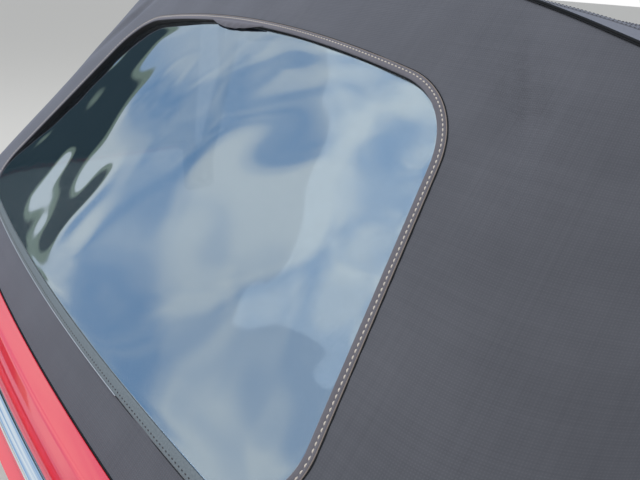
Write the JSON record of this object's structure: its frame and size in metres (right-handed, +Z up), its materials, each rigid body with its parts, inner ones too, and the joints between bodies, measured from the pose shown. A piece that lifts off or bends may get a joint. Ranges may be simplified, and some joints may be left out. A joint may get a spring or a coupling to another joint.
{
  "type": "folding soft top with rear window",
  "caption": "Folding fabric roof of a small open two-seat car, with a clear flexible rear window, steel bows, header with latches and a painted deck collar.",
  "frame": {"origin": "rear centre of the hem line, on the underside of the rail that clamps the fabric to the deck", "axes": "+X to the car's right, +Y forward, +Z up"},
  "size_m": [1.432, 1.1758, 0.5365],
  "materials": {
    "roof_cloth": "matt woven cloth",
    "clear_vinyl": "clear flexible sheet",
    "woven_tape": "woven binding with a pale stitch row",
    "border_vinyl": "satin vinyl",
    "zip_tape": "moulded zip on tape",
    "zinc_steel": "zinc plated",
    "seal_rubber": "moulded, matt",
    "red_paint": "gloss enamel",
    "bright_trim": "polished",
    "black_paint": "satin black",
    "latch_plastic": "grained"
  },
  "bodies": {
    "deck": {"rear_skin": "roof_cloth", "rear_window": "clear_vinyl", "window_binding": "woven_tape", "window_lower_border": "border_vinyl", "window_zip": "zip_tape", "hem_band": "roof_cloth", "rear_rail": "zinc_steel", "deck_seal": "seal_rubber", "deck_collar": "red_paint", "bright_strip": "bright_trim", "main_bracket_left": "zinc_steel", "main_bracket_right": "zinc_steel", "pivot_pin_left": "zinc_steel", "pivot_pin_right": "zinc_steel"},
    "rear_bow": {"rear_bow": "black_paint", "bow_arm_left": "black_paint", "bow_arm_right": "black_paint"},
    "main_frame": {"main_bow": "black_paint", "pillar_left": "black_paint", "pillar_right": "black_paint", "roof_rear_panel": "roof_cloth"},
    "roof_front": {"front_bow": "black_paint", "side_rail_left": "black_paint", "side_rail_right": "black_paint", "elbow_pin_left": "zinc_steel", "elbow_pin_right": "zinc_steel", "side_seal_left": "seal_rubber", "side_seal_right": "seal_rubber", "roof_mid_panel": "roof_cloth", "roof_front_panel": "roof_cloth", "header": "black_paint", "header_seal": "seal_rubber", "latch_base_left": "zinc_steel", "latch_base_right": "zinc_steel"},
    "latch_left": {"latch_handle_left": "latch_plastic"},
    "latch_right": {"latch_handle_right": "latch_plastic"}
  },
  "joints": [
    {"name": "rear_bow_fold", "type": "hinge", "parent": "deck", "child": "rear_bow", "pos_m": [0, 0.54, -0.064], "axis": [1, 0, 0], "range_deg": [0, 88], "deforming": ["rear_skin", "rear_window", "window_binding", "window_lower_border", "window_zip"]},
    {"name": "main_frame_fold", "type": "hinge", "parent": "rear_bow", "child": "main_frame", "pos_m": [0, 0.54, -0.064], "axis": [1, 0, 0], "range_deg": [0, 12], "deforming": ["roof_rear_panel"]},
    {"name": "roof_front_fold", "type": "hinge", "parent": "main_frame", "child": "roof_front", "pos_m": [0, 0.64, 0.27394], "axis": [1, 0, 0], "range_deg": [-100, 0], "deforming": ["roof_mid_panel"]},
    {"name": "latch_left_open", "type": "hinge", "parent": "roof_front", "child": "latch_left", "pos_m": [-0.33, 1.0551, 0.29274], "axis": [1, 0, 0], "range_deg": [0, 95]},
    {"name": "latch_right_open", "type": "hinge", "parent": "roof_front", "child": "latch_right", "pos_m": [0.33, 1.0551, 0.29274], "axis": [1, 0, 0], "range_deg": [0, 95]}
  ],
  "couplings": [
    {"joint": "main_frame_fold", "follows": "rear_bow_fold", "ratio": 0.13636},
    {"joint": "roof_front_fold", "follows": "rear_bow_fold", "ratio": -1.1364}
  ]
}
